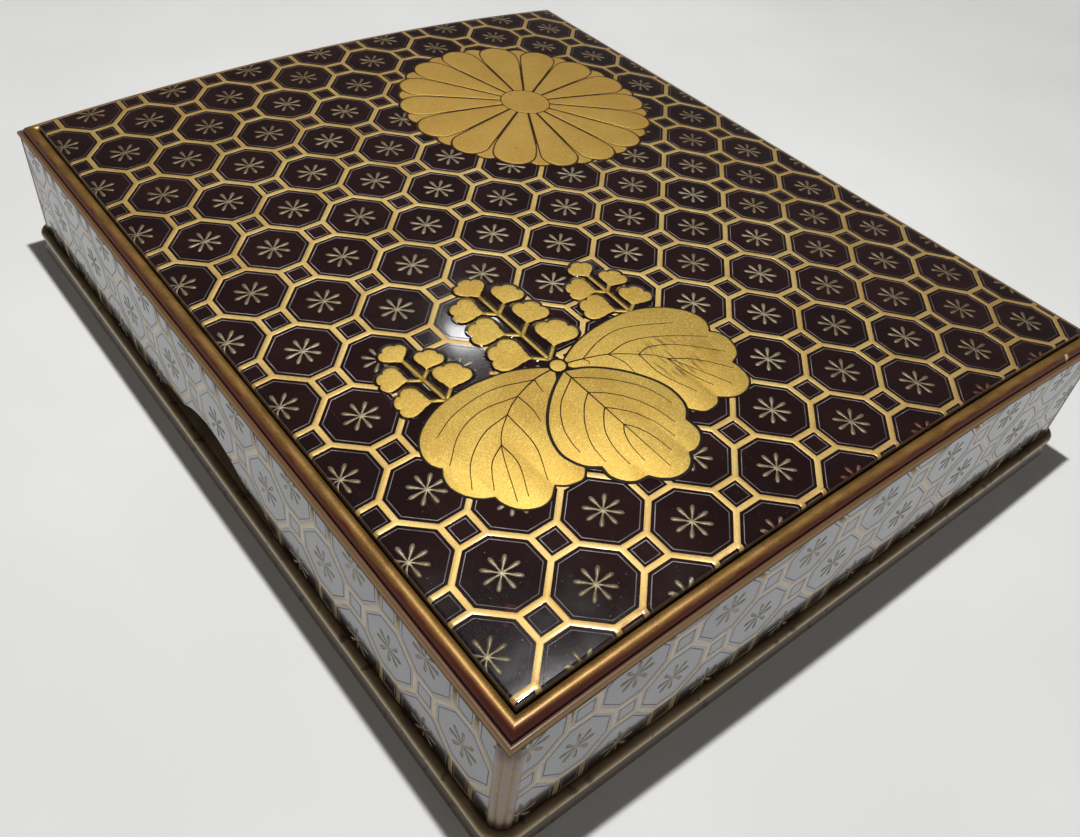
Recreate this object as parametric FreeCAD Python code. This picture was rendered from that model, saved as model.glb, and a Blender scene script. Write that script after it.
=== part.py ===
# A lidded document box of lacquered wood. A shallow inner box stands in a moulded foot ring, and a deep lid slips
# over it and rests on the ring's ledge. The lid's top is a barrel vault across the short direction, framed by a
# round bead with a fine reed below it. Its corners are reeded posts, and both long sides have a hand-hold.
# X is the short direction, Y the long one, Z is up. The origin is the middle of the underside.
import FreeCAD, Part
import math
import os

from FreeCAD import Vector

# Lid, over the outer faces of its sides
LID_WIDTH = 333.0
LID_LENGTH = 397.0
LID_SIDE_HEIGHT = 51.5  # from the lower edge to the bead's seat, at the corners
LID_WALL = 5.0
ARCH_RISE = 8.0  # of the vault, from the long sides to the middle

# Top board: a thin tongue let into the sides, and a thicker raised field inside the bead
TONGUE_THICKNESS = 3.2
FIELD_RISE = 6.8  # of the field's surface above the tongue
FIELD_EDGE_RADIUS = 3.0
FIELD_GAP = 0.1  # between the field and the bead
WALL_LIP = 3.0  # thickness of the sides that is left beside the tongue

# Bead and reed round the lid's top, two circles cut off by the seat
BEAD_RADIUS = 3.0
BEAD_SINK = 1.2  # how much of the circle the seat cuts off
REED_RADIUS = 1.4
REED_SINK = 0.6
REED_REACH = 0.2  # how far the reed stands proud of the sides
BEAD_NIP = 0.2  # how deep the two circles run into each other
BEAD_LENGTHS = 12  # short lengths that the arched beads are worked in

# Corner posts of the lid
POST_RADIUS = 6.0
POST_REEDS = 3
POST_REED_BULGE = 0.4

# Hand-hold in the lower edge of both long sides
HOLD_WIDTH = 104.0
HOLD_HEIGHT = 16.0
HOLD_SHOULDER_WIDTH = 70.0  # between the points where the rising ends level out
HOLD_SHOULDER_HEIGHT = 7.2
HOLD_CROWN_WIDTH = 54.0  # of the arch in the middle, between its two cusps

# Inner box
SIDE_CLEARANCE = 1.0  # between the lid and the inner box
HEAD_CLEARANCE = 3.0  # between the inner box and the lid's board, at the long sides
POST_CLEARANCE = 1.5  # between the lid's posts and the rounded corners of the inner box
LEAST_CORNER_RADIUS = 1.0
BOX_WALL = 5.0
BOTTOM_THICKNESS = 6.0

# Foot ring with the ledge for the lid and a rounded rim
LEDGE_HEIGHT = 11.4
LEDGE_SETBACK = 0.4  # of the ledge's edge behind the lid's outer face
RIM_RADIUS = 2.1
RIM_DROP = 0.2  # of the rim's top below the ledge
RIM_NIP = 0.1  # how far the rim's circle runs in past the ledge's edge
RIM_UNDERCUT_ANGLE = 60.0  # where the circle ends and the cove begins, below level
COVE_REACH = 1.7  # of the cove's deepest line beyond the lid's outer face
FOOT_REACH = 2.6  # of the foot at the bottom

# Cutting shapes reach this far past what they cut
CUT_PAST = 40.0

# Levels
SEAT_HEIGHT = LEDGE_HEIGHT + LID_SIDE_HEIGHT
CEILING_HEIGHT = SEAT_HEIGHT - TONGUE_THICKNESS
BOX_HEIGHT = CEILING_HEIGHT - HEAD_CLEARANCE
CUT_HEIGHT = SEAT_HEIGHT + ARCH_RISE + CUT_PAST

# Vault: three circles about one line, for the board's underside, the bead's seat and the field
SEAT_RADIUS = (LID_WIDTH ** 2 / 4 + ARCH_RISE ** 2) / (2 * ARCH_RISE)
VAULT_AXIS_HEIGHT = SEAT_HEIGHT + ARCH_RISE - SEAT_RADIUS
UNDERSIDE_RADIUS = SEAT_RADIUS - TONGUE_THICKNESS
FIELD_RADIUS = SEAT_RADIUS + FIELD_RISE
VAULT_SLOPE = math.asin(LID_WIDTH / 2 / SEAT_RADIUS)

# Plan, as insets from the lid's outer faces
BOX_INSET = LID_WALL + SIDE_CLEARANCE
HOLLOW_INSET = BOX_INSET + BOX_WALL
BEAD_CENTRE_HEIGHT = BEAD_RADIUS - BEAD_SINK
REED_CENTRE_HEIGHT = REED_RADIUS - REED_SINK
REED_INSET = REED_RADIUS - REED_REACH
BEAD_SPACING = BEAD_RADIUS + REED_RADIUS - BEAD_NIP
BEAD_INSET = REED_INSET + math.sqrt(BEAD_SPACING ** 2 - (BEAD_CENTRE_HEIGHT - REED_CENTRE_HEIGHT) ** 2)
FIELD_INSET = BEAD_INSET + BEAD_RADIUS + FIELD_GAP
POST_SHIFT = (POST_RADIUS - BOX_INSET) * math.sqrt(2)
BOX_CORNER_RADIUS = max(LEAST_CORNER_RADIUS, (POST_CLEARANCE + POST_SHIFT) / (math.sqrt(2) - 1))


def block(inset, low, high):
    """A box with its four sides at an inset from the lid's outer faces."""
    half_width = LID_WIDTH / 2 - inset
    half_length = LID_LENGTH / 2 - inset
    return Part.makeBox(2 * half_width, 2 * half_length, high - low, Vector(-half_width, -half_length, low))


def vaulted_block(inset, low, radius):
    """The same box, closed at the top by the vault's circle of a radius."""
    half_width = LID_WIDTH / 2 - inset
    half_length = LID_LENGTH / 2 - inset
    side_height = VAULT_AXIS_HEIGHT + math.sqrt(radius ** 2 - half_width ** 2)
    start = -half_length
    low_left = Vector(-half_width, start, low)
    low_right = Vector(half_width, start, low)
    high_left = Vector(-half_width, start, side_height)
    high_right = Vector(half_width, start, side_height)
    crown = Vector(0, start, VAULT_AXIS_HEIGHT + radius)
    edges = [
        Part.makeLine(low_left, low_right),
        Part.makeLine(low_right, high_right),
        Part.Arc(high_right, crown, high_left).toShape(),
        Part.makeLine(high_left, low_left),
    ]
    return Part.Face(Part.Wire(edges)).extrude(Vector(0, 2 * half_length, 0))


def prism(corners, low, high):
    """An upright prism over a polygon in plan."""
    points = [Vector(x, y, low) for x, y in corners]
    return Part.Face(Part.makePolygon(points + points[:1])).extrude(Vector(0, 0, high - low))


def mitre_wedge(side):
    """The room of one side, front or left, between the 45 degree planes through two corners of the lid."""
    x = LID_WIDTH / 2
    y = LID_LENGTH / 2
    out = CUT_PAST
    corners = [(-x - out, -y - out), (-x + out, -y + out)]
    if side == "front":
        corners += [(x - out, -y + out), (x + out, -y - out)]
    else:
        corners += [(-x + out, y - out), (-x - out, y + out)]
    return prism(corners, -CUT_PAST, CUT_HEIGHT)


def circle_point(centre, radius, angle):
    """The point of a circle at an angle in degrees from its first axis."""
    turn = math.radians(angle)
    return (centre[0] + radius * math.cos(turn), centre[1] + radius * math.sin(turn))


def outline_face(parts, place):
    """A face from a closed run of lines (2 points) and arcs (3 points), each point put in space by place."""
    edges = []
    for points in parts:
        spots = [place(*point) for point in points]
        if len(spots) == 2:
            edges.append(Part.makeLine(spots[0], spots[1]))
        else:
            edges.append(Part.Arc(spots[0], spots[1], spots[2]).toShape())
    return Part.Face(Part.Wire(edges))


def bead_outline():
    """Section of the bead and reed, as inset and height above the seat."""
    bead = (BEAD_INSET, BEAD_CENTRE_HEIGHT)
    reed = (REED_INSET, REED_CENTRE_HEIGHT)
    tilt = math.degrees(math.atan2(bead[1] - reed[1], bead[0] - reed[0]))
    reach = (REED_RADIUS ** 2 - BEAD_RADIUS ** 2 + BEAD_SPACING ** 2) / (2 * BEAD_SPACING)
    reed_angle = tilt + math.degrees(math.acos(reach / REED_RADIUS))
    bead_angle = tilt + 180 - math.degrees(math.acos((BEAD_SPACING - reach) / BEAD_RADIUS))
    bead_foot_angle = -math.degrees(math.asin(BEAD_CENTRE_HEIGHT / BEAD_RADIUS))
    reed_foot_angle = 180 + math.degrees(math.asin(REED_CENTRE_HEIGHT / REED_RADIUS))
    inner_foot = circle_point(bead, BEAD_RADIUS, bead_foot_angle)
    groove = circle_point(reed, REED_RADIUS, reed_angle)
    outer_foot = circle_point(reed, REED_RADIUS, reed_foot_angle)
    bead_middle = circle_point(bead, BEAD_RADIUS, (bead_foot_angle + bead_angle) / 2)
    reed_middle = circle_point(reed, REED_RADIUS, (reed_angle + reed_foot_angle) / 2)
    return [(inner_foot, bead_middle, groove), (groove, reed_middle, outer_foot), (outer_foot, inner_foot)]


def make_bead_left():
    """The long bead is straight and leans with the vault's slope, so that it meets the short ones."""
    cosine = math.cos(VAULT_SLOPE)
    sine = math.sin(VAULT_SLOPE)
    start = -LID_LENGTH / 2 - CUT_PAST / 2

    def place(inset, height):
        x = -LID_WIDTH / 2 + inset * cosine - height * sine
        return Vector(x, start, SEAT_HEIGHT + inset * sine + height * cosine)

    face = outline_face(bead_outline(), place)
    return face.extrude(Vector(0, -2 * start, 0)).common(mitre_wedge("left"))


def make_bead_front():
    """The short bead is the same section set out along the vault, in straight lengths that rest on the seat."""
    sweep = math.asin((LID_WIDTH / 2 + CUT_PAST / 2) / SEAT_RADIUS)
    lift = SEAT_RADIUS / math.cos(sweep / BEAD_LENGTHS) - SEAT_RADIUS

    def place(inset, height):
        return Vector(0, -LID_LENGTH / 2 + inset, SEAT_HEIGHT + ARCH_RISE + lift + height)

    sections = []
    for count in range(BEAD_LENGTHS + 1):
        section = outline_face(bead_outline(), place).OuterWire
        turn = math.degrees(sweep) * (2 * count / BEAD_LENGTHS - 1)
        section.rotate(Vector(0, 0, VAULT_AXIS_HEIGHT), Vector(0, 1, 0), turn)
        sections.append(section)
    return Part.makeLoft(sections, True, True).common(mitre_wedge("front"))


def make_top_board():
    """Vaulted board: its tongue reaches into the sides, and its raised field has rounded edges."""
    low = CEILING_HEIGHT - CUT_PAST
    field = vaulted_block(FIELD_INSET, low, FIELD_RADIUS)
    rim = [edge for edge in field.Edges if edge.BoundBox.ZMin > SEAT_HEIGHT]
    field = field.makeFillet(FIELD_EDGE_RADIUS, rim)
    board = field.fuse(vaulted_block(WALL_LIP, low, SEAT_RADIUS))
    return board.cut(vaulted_block(0, low, UNDERSIDE_RADIUS)).removeSplitter()


def under_bead(solid):
    """Cuts a piece of the lid's sides to the bead's seat, and lets the board's tongue into it."""
    rebate = block(WALL_LIP, LEDGE_HEIGHT, CUT_HEIGHT).cut(vaulted_block(0, 0, UNDERSIDE_RADIUS))
    return solid.common(vaulted_block(0, 0, SEAT_RADIUS)).cut(rebate)


def hand_hold():
    """Cutter for the hand-hold: an arch between two cusps, with level shoulders and rising ends."""
    floor = LEDGE_HEIGHT
    shoulder = floor + HOLD_SHOULDER_HEIGHT
    end_run = (HOLD_WIDTH - HOLD_SHOULDER_WIDTH) / 2
    end_radius = (end_run ** 2 + HOLD_SHOULDER_HEIGHT ** 2) / (2 * HOLD_SHOULDER_HEIGHT)
    end_angle = 90 - math.degrees(math.asin(end_run / end_radius)) / 2
    end_middle = circle_point((HOLD_SHOULDER_WIDTH / 2, shoulder - end_radius), end_radius, end_angle)
    crown_rise = HOLD_HEIGHT - HOLD_SHOULDER_HEIGHT
    cusp = (HOLD_CROWN_WIDTH / 2, shoulder)
    top = (0, floor + HOLD_HEIGHT)
    crown_radius = (cusp[0] ** 2 + crown_rise ** 2) / (2 * crown_rise)
    crown_angle = 90 - math.degrees(math.asin(cusp[0] / crown_radius)) / 2
    crown_middle = circle_point((0, top[1] - crown_radius), crown_radius, crown_angle)
    half = [
        ((HOLD_WIDTH / 2, floor), end_middle, (HOLD_SHOULDER_WIDTH / 2, shoulder)),
        ((HOLD_SHOULDER_WIDTH / 2, shoulder), cusp),
        (cusp, crown_middle, top),
    ]
    other_half = [[(-y, z) for y, z in reversed(points)] for points in reversed(half)]
    below = floor - HOLD_SHOULDER_HEIGHT
    closing = [
        ((-HOLD_WIDTH / 2, floor), (-HOLD_WIDTH / 2, below)),
        ((-HOLD_WIDTH / 2, below), (HOLD_WIDTH / 2, below)),
        ((HOLD_WIDTH / 2, below), (HOLD_WIDTH / 2, floor)),
    ]
    start = -LID_WIDTH / 2 - LID_WALL
    face = outline_face(half + other_half + closing, lambda y, z: Vector(start, y, z))
    return face.extrude(Vector(3 * LID_WALL, 0, 0))


def make_side_left():
    """Long side of the lid, between two posts, with its hand-hold."""
    half_length = LID_LENGTH / 2 - POST_RADIUS
    corner = Vector(-LID_WIDTH / 2, -half_length, LEDGE_HEIGHT)
    board = Part.makeBox(LID_WALL, 2 * half_length, CUT_HEIGHT, corner)
    return under_bead(board).cut(hand_hold())


def make_side_front():
    """Short side of the lid, its upper edge following the vault."""
    half_width = LID_WIDTH / 2 - POST_RADIUS
    corner = Vector(-half_width, -LID_LENGTH / 2, LEDGE_HEIGHT)
    return under_bead(Part.makeBox(2 * half_width, LID_WALL, CUT_HEIGHT, corner))


def make_post_front_left():
    """Corner post: a quarter round whose curved face is worked into reeds."""
    centre = (-LID_WIDTH / 2 + POST_RADIUS, -LID_LENGTH / 2 + POST_RADIUS)
    step = 90 / POST_REEDS
    parts = []
    for reed in range(POST_REEDS):
        angle = 180 + reed * step
        first = circle_point(centre, POST_RADIUS, angle)
        middle = circle_point(centre, POST_RADIUS + POST_REED_BULGE, angle + step / 2)
        last = circle_point(centre, POST_RADIUS, angle + step)
        parts.append((first, middle, last))
    parts.append((last, centre))
    parts.append((centre, parts[0][0]))
    face = outline_face(parts, lambda x, y: Vector(x, y, LEDGE_HEIGHT))
    post = face.extrude(Vector(0, 0, CUT_HEIGHT))
    outside = vaulted_block(-CUT_PAST / 2, 0, SEAT_RADIUS)
    rebate = block(WALL_LIP, LEDGE_HEIGHT, CUT_HEIGHT).cut(vaulted_block(0, 0, UNDERSIDE_RADIUS))
    return post.common(outside).cut(rebate)


def make_box_side(side):
    """Side of the inner box, mitred. Its outer corners are square in the foot ring and rounded above it."""
    lower = block(BOX_INSET, 0, LEDGE_HEIGHT)
    upper = block(BOX_INSET, LEDGE_HEIGHT, BOX_HEIGHT)
    corners = [edge for edge in upper.Edges if edge.BoundBox.ZLength > BOX_HEIGHT - LEDGE_HEIGHT - 1]
    upper = upper.makeFillet(BOX_CORNER_RADIUS, corners)
    hollow = block(HOLLOW_INSET, -CUT_PAST, CUT_HEIGHT)
    return lower.fuse(upper).cut(hollow).common(mitre_wedge(side)).removeSplitter()


def foot_outline():
    """Section of the foot ring, as reach beyond the lid's outer face and height."""
    rim = (RIM_RADIUS - LEDGE_SETBACK - RIM_NIP, LEDGE_HEIGHT - RIM_DROP - RIM_RADIUS)
    groove_angle = 180 - math.degrees(math.acos((RIM_RADIUS - RIM_NIP) / RIM_RADIUS))
    groove = circle_point(rim, RIM_RADIUS, groove_angle)
    rim_middle = circle_point(rim, RIM_RADIUS, (groove_angle - RIM_UNDERCUT_ANGLE) / 2)
    undercut = circle_point(rim, RIM_RADIUS, -RIM_UNDERCUT_ANGLE)
    cove = (COVE_REACH, undercut[1] / 2)
    return [
        ((-BOX_INSET, 0), (-BOX_INSET, LEDGE_HEIGHT)),
        ((-BOX_INSET, LEDGE_HEIGHT), (-LEDGE_SETBACK, LEDGE_HEIGHT)),
        ((-LEDGE_SETBACK, LEDGE_HEIGHT), groove),
        (groove, rim_middle, undercut),
        (undercut, cove, (FOOT_REACH, 0)),
        ((FOOT_REACH, 0), (-BOX_INSET, 0)),
    ]


def make_foot(half_width, half_length):
    """Length of the foot ring along the left of a box of a half width, with half of each rounded corner."""
    run = half_length - BOX_INSET
    centre_x = -half_width + BOX_INSET

    def place(reach, height):
        return Vector(-half_width - reach, -run, height)

    face = outline_face(foot_outline(), place)
    straight = face.extrude(Vector(0, 2 * run, 0))
    near = face.revolve(Vector(centre_x, -run, 0), Vector(0, 0, 1), 45)
    return straight.multiFuse([near, near.mirror(Vector(0, 0, 0), Vector(0, 1, 0))]).removeSplitter()


def opposite(solid, axis):
    """The same piece on the other side of the box."""
    return solid.mirror(Vector(0, 0, 0), axis)


ACROSS = Vector(1, 0, 0)
ALONG = Vector(0, 1, 0)

side_left = make_side_left()
side_front = make_side_front()
bead_left = make_bead_left()
bead_front = make_bead_front()
post_front_left = make_post_front_left()
post_back_left = opposite(post_front_left, ALONG)
box_left = make_box_side("left")
box_front = make_box_side("front")
foot_left = make_foot(LID_WIDTH / 2, LID_LENGTH / 2)
foot_front = make_foot(LID_LENGTH / 2, LID_WIDTH / 2)
foot_front.rotate(Vector(0, 0, 0), Vector(0, 0, 1), 90)

shapes = {
    "bottom_board": block(HOLLOW_INSET, 0, BOTTOM_THICKNESS),
    "box_side_left": box_left,
    "box_side_right": opposite(box_left, ACROSS),
    "box_side_front": box_front,
    "box_side_back": opposite(box_front, ALONG),
    "foot_left": foot_left,
    "foot_right": opposite(foot_left, ACROSS),
    "foot_front": foot_front,
    "foot_back": opposite(foot_front, ALONG),
    "lid_top_board": make_top_board(),
    "lid_side_left": side_left,
    "lid_side_right": opposite(side_left, ACROSS),
    "lid_side_front": side_front,
    "lid_side_back": opposite(side_front, ALONG),
    "lid_post_front_left": post_front_left,
    "lid_post_front_right": opposite(post_front_left, ACROSS),
    "lid_post_back_left": post_back_left,
    "lid_post_back_right": opposite(post_back_left, ACROSS),
    "lid_bead_left": bead_left,
    "lid_bead_right": opposite(bead_left, ACROSS),
    "lid_bead_front": bead_front,
    "lid_bead_back": opposite(bead_front, ALONG),
}

os.makedirs("parts", exist_ok=True)
for name, shape in shapes.items():
    shape.exportStep("parts/" + name + ".step")
    print(name, len(shape.Solids), shape.isValid(), round(shape.Volume))
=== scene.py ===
import bmesh
import bpy
import math
import numpy as np
from mathutils import Matrix, Vector


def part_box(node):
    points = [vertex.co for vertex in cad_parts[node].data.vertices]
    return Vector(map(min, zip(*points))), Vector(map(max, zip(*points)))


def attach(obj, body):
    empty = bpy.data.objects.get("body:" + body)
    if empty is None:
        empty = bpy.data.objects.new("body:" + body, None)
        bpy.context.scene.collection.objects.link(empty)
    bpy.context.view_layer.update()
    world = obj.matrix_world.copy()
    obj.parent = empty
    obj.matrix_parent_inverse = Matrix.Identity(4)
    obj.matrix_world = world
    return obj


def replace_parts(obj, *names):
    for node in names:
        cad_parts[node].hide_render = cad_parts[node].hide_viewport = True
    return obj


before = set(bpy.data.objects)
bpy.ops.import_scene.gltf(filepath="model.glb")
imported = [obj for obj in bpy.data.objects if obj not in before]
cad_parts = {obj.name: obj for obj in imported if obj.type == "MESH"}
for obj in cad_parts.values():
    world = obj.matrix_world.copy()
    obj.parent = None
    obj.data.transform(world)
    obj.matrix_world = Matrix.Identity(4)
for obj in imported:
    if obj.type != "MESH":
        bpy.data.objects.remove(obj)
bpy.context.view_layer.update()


# Camera. It stands above the near left corner and looks down over the lid, turned a little about its own axis.
# Its place and turn are those that bring the box's corners and the lid's pattern onto the photograph.
EYE = (-0.26174, -0.29220, 0.32365)
HEADING = -43.750
TILT = 46.097
ROLL = 7.567
FOCAL_LENGTH = 33.07

eye = bpy.data.objects.new("camera", bpy.data.cameras.new("camera"))
bpy.context.scene.collection.objects.link(eye)
eye.data.lens = FOCAL_LENGTH
eye.data.sensor_width = 36
eye.data.clip_start = 0.01
turns = [Matrix.Rotation(math.radians(angle), 4, axis) for angle, axis in ((HEADING, "Z"), (TILT, "X"), (ROLL, "Z"))]
eye.matrix_world = Matrix.Translation(EYE) @ turns[0] @ turns[1] @ turns[2]
bpy.context.scene.camera = eye


# Table and light. The box stands on a pale, plain table, which its upright walls mirror. The main lamp stands
# high and a little behind, so the box's shadow falls as a narrow band on the near and left sides. A small weak lamp
# is there for its mirror image beside the small flowers.
TABLE_HALF = 3.0
TABLE_LEVEL = -0.0003
LAMPS = {
    "lamp_high": ((0.062, 0.101, 1.500), (0.05, 0.05), 20.5),
    "lamp_left": ((-1.20, -0.30, 0.90), (0.9, 0.7), 1.0),
    "lamp_front": ((0.20, -1.25, 0.80), (0.9, 0.6), 0.8),
    "lamp_mirrored": ((0.288, 0.496, 0.686), (0.05, 0.03), 0.09),
}
ROOM_HIGH = 0.05
ROOM_LOW = 0.22
ROOM_SHOWN = 0.78


def colour(red, green, blue):
    """Linear colour of three values from 0 to 255 as they are read off a print."""
    channels = np.array([red, green, blue]) / 255
    linear = np.where(channels > 0.04045, ((channels + 0.055) / 1.055) ** 2.4, channels / 12.92)
    return (*linear.tolist(), 1.0)


def operator(operation, reflected=False):
    """A method that adds a Math node for a coat and another value, which comes first when reflected."""
    def method(self, other):
        first, second = (other, self) if reflected else (self, other)
        return self.apply("Math", {"operation": operation}, {0: first, 1: second})

    return method


class Coat:
    """A value worked out inside a finish. Arithmetic on it adds Math nodes, and apply adds any other node."""

    def __init__(self, tree, socket=None):
        self.tree = tree
        self.socket = socket

    def apply(self, kind, settings, values, output=0):
        """Adds a node of a kind, sets its properties, then its sockets from numbers or other coats."""
        node = self.tree.nodes.new("ShaderNode" + kind)
        for name, setting in settings.items():
            if name == "stops":
                stops = node.color_ramp.elements
                while len(stops) < len(setting):
                    stops.new(0.5)
                for stop, (position, shade) in zip(stops, setting):
                    stop.position = position
                    stop.color = shade if isinstance(shade, tuple) else (shade, shade, shade, 1)
            else:
                setattr(node, name, setting)
        for name, value in values.items():
            if isinstance(value, Coat):
                self.tree.links.new(value.socket, node.inputs[name])
            else:
                node.inputs[name].default_value = value
        return Coat(self.tree, node.outputs[output])

    __add__, __radd__ = operator("ADD"), operator("ADD", True)
    __sub__, __rsub__ = operator("SUBTRACT"), operator("SUBTRACT", True)
    __mul__, __rmul__ = operator("MULTIPLY"), operator("MULTIPLY", True)
    most = operator("MAXIMUM")

    def place(self, scale=(1, 1, 1), turn=(0, 0, 0)):
        """Object coordinates in metres, turned and stretched."""
        spot = self.apply("TexCoord", {}, {}, "Object")
        return self.apply("Mapping", {}, {"Vector": spot, "Scale": scale, "Rotation": turn})

    def along(self, axis):
        """One of the three object coordinates, in metres."""
        return self.apply("SeparateXYZ", {}, {"Vector": self.apply("TexCoord", {}, {}, "Object")}, axis)

    def grain(self, size, detail=2.0, place=None, rough=0.5):
        """Cloudy noise from 0 to 1 whose clouds are about a size in millimetres."""
        values = {"Vector": place or self.place(), "Scale": 1000 / size, "Detail": detail, "Roughness": rough}
        return self.apply("TexNoise", {}, values)

    def band(self, low, high):
        """0 below one value, 1 above another, eased in between. Low may be the larger one."""
        limits = {"Value": self, "From Min": low, "From Max": high}
        return self.apply("MapRange", {"interpolation_type": "SMOOTHSTEP"}, limits)

    def blend(self, mask, under, over):
        """One colour laid over another where the mask is 1."""
        return self.apply("Mix", {"data_type": "RGBA"}, {0: mask, 6: under, 7: over}, 2)

    def over(self, mask, red, green, blue):
        """This colour with another one over it where the mask is 1."""
        return self.blend(mask, self, colour(red, green, blue))

    def bump(self, height, depth):
        """Normal of a surface whose height runs over a depth in millimetres."""
        return self.apply("Bump", {}, {"Height": height, "Distance": depth / 1000, "Strength": 1.0})


def new_finish(name, mix, **steady):
    """A material from a function that takes a coat and gives the sockets that change over the surface."""
    finish = bpy.data.materials.new(name)
    finish.use_nodes = True
    tree = finish.node_tree
    tree.nodes.clear()
    coat = Coat(tree)
    sockets = {key.replace("_", " "): value for key, value in steady.items()}
    sockets.update(mix(coat))
    shader = coat.apply("BsdfPrincipled", {}, sockets)
    output = tree.nodes.new("ShaderNodeOutputMaterial")
    tree.links.new(shader.socket, output.inputs["Surface"])
    return finish


def table_top(coat):
    """Smooth matt white, a very little cloudy, evenly lit far from the box and where the lacquer mirrors it."""
    clouds = coat.grain(180, 3.0)
    mirrored = coat.apply("LightPath", {}, {}, "Is Glossy Ray")
    x, y = coat.along("X"), coat.along("Y")
    even = (x * x + y * y).band(0.20, 1.20)
    tint = coat.blend(clouds.band(0.35, 0.7), colour(228, 228, 226), colour(234, 234, 232))
    glow = coat.blend(mirrored, coat.blend(even, colour(0, 0, 0), colour(225, 225, 223)), colour(207, 208, 209))
    return {"Base Color": coat.blend(mirrored.most(even), tint, colour(0, 0, 0)), "Emission Color": glow}


table_finish = new_finish("table_white", table_top, Roughness=0.75, Emission_Strength=1.0)
table_mesh = bpy.data.meshes.new("table")
corners = [(x * TABLE_HALF, y * TABLE_HALF, TABLE_LEVEL) for x, y in ((-1, -1), (1, -1), (1, 1), (-1, 1))]
table_mesh.from_pydata(corners, [], [(0, 1, 2, 3)])
table_mesh.materials.append(table_finish)
table = bpy.data.objects.new("table", table_mesh)
bpy.context.scene.collection.objects.link(table)

for name, (spot, (width, depth), power) in LAMPS.items():
    lamp = bpy.data.objects.new(name, bpy.data.lights.new(name, "AREA"))
    lamp.data.shape = "RECTANGLE"
    lamp.data.size = width
    lamp.data.size_y = depth
    lamp.data.energy = power
    bpy.context.scene.collection.objects.link(lamp)
    lamp.matrix_world = Matrix.Translation(spot) @ Vector(spot).to_track_quat("Z", "Y").to_matrix().to_4x4()

room = bpy.data.worlds.new("room")
room.use_nodes = True
air = Coat(room.node_tree)
height = air.apply("SeparateXYZ", {}, {"Vector": air.apply("TexCoord", {}, {}, "Generated")}, 2)
low_down = height.band(0.30, 0.06)
camera_ray = air.apply("LightPath", {}, {}, "Is Camera Ray")
glow = ROOM_HIGH + low_down * (ROOM_LOW - ROOM_HIGH)
glow = glow.most(camera_ray * ROOM_SHOWN)
room.node_tree.links.new(glow.socket, room.node_tree.nodes["Background"].inputs["Strength"])
room.node_tree.nodes["Background"].inputs["Color"].default_value = (1, 1, 1, 1)
bpy.context.scene.world = room
bpy.context.scene.view_settings.view_transform = "Standard"


# Inner box: thin boards, mitred and lacquered black without and within. Only its long sides show, as a dark wall
# behind the hand-holds. It is the CAD's own, with a plain worn lacquer on it.
def box_lacquer(coat):
    """Black brown lacquer, duller than the lid's, with pale rubbing along its height."""
    clouds = coat.grain(16, 4.0)
    rubbed = coat.grain(1.2, 3.0, coat.place((1, 1, 0.06))).band(0.56, 0.72) * 0.35
    tint = coat.blend(clouds.band(0.3, 0.7), colour(22, 14, 13), colour(33, 22, 19))
    tint = tint.over(rubbed, 58, 44, 36)
    peel = coat.grain(2.5, 2.0)
    return {"Base Color": tint, "Roughness": 0.26 + clouds * 0.2, "Normal": coat.bump(peel, 0.01)}


box_finish = new_finish("box_lacquer_black", box_lacquer, Coat_Weight=0.4, Coat_Roughness=0.15)
for node in ("bottom_board", "box_side_left", "box_side_right", "box_side_front", "box_side_back"):
    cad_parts[node].data.materials.clear()
    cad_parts[node].data.materials.append(box_finish)


# Foot ring: four mitred mouldings with a flat ledge for the lid, a half round rim and a hollow below it.
# They are turned outwards round the corners. The rim is gold lacquer rubbed down to brown.
LID_HALF_WIDTH = 166.5
LID_HALF_LENGTH = 198.5
# Each side: the direction outwards, how far out it stands and half its length
SIDES = {"left": ((-1, 0), LID_HALF_WIDTH, LID_HALF_LENGTH), "right": ((1, 0), LID_HALF_WIDTH, LID_HALF_LENGTH),
         "front": ((0, -1), LID_HALF_LENGTH, LID_HALF_WIDTH), "back": ((0, 1), LID_HALF_LENGTH, LID_HALF_WIDTH)}
BOX_INSET = 6.0
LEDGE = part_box("lid_side_left")[0][2] * 1000
LEDGE_SETBACK = 0.4
RIM_RADIUS = 2.1
RIM_REACH = 1.6
RIM_LEVEL = LEDGE - 2.3
RIM_UNDERCUT = 60.0
COVE_REACH = 1.7
FOOT_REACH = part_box("foot_left")[0][0] * -1000 - LID_HALF_WIDTH


def grid_faces(rows, columns, start=0):
    """Quads between the points of a grid that is stored row by row."""
    first = start + (np.arange(rows - 1)[:, None] * columns + np.arange(columns - 1)[None, :]).reshape(-1)
    return np.stack([first, first + 1, first + columns + 1, first + columns], 1)


def arc(centre, radius, first, last, count):
    """Points of a circle in a plane, from one angle in degrees to another."""
    turn = np.radians(np.linspace(first, last, count))
    return np.stack([centre[0] + radius * np.cos(turn), centre[1] + radius * np.sin(turn)], 1)


def arc_through(first, middle, last, count):
    """Points of the circle through three points: its centre is as far from the first as from the other two."""
    (ax, ay), (bx, by), (cx, cy) = first, middle, last
    sides = np.array([[bx - ax, by - ay], [cx - ax, cy - ay]])
    squares = np.array([bx * bx - ax * ax + by * by - ay * ay, cx * cx - ax * ax + cy * cy - ay * ay])
    centre = np.linalg.solve(sides, squares / 2)
    turns = np.unwrap([math.atan2(y - centre[1], x - centre[0]) for x, y in (first, middle, last)])
    return arc(centre, math.dist(centre, first), math.degrees(turns[0]), math.degrees(turns[2]), count)


SHARP_EDGE = 35
SHARP_LINE = 40


def added(name, mesh, sharp, finish, body):
    """A piece of a mesh, smooth but for the edges sharper than an angle in degrees."""
    mesh.shade_smooth()
    mesh.set_sharp_from_angle(angle=math.radians(sharp))
    mesh.materials.append(finish)
    piece = bpy.data.objects.new(name, mesh)
    bpy.context.scene.collection.objects.link(piece)
    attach(piece, body)
    return piece


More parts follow.
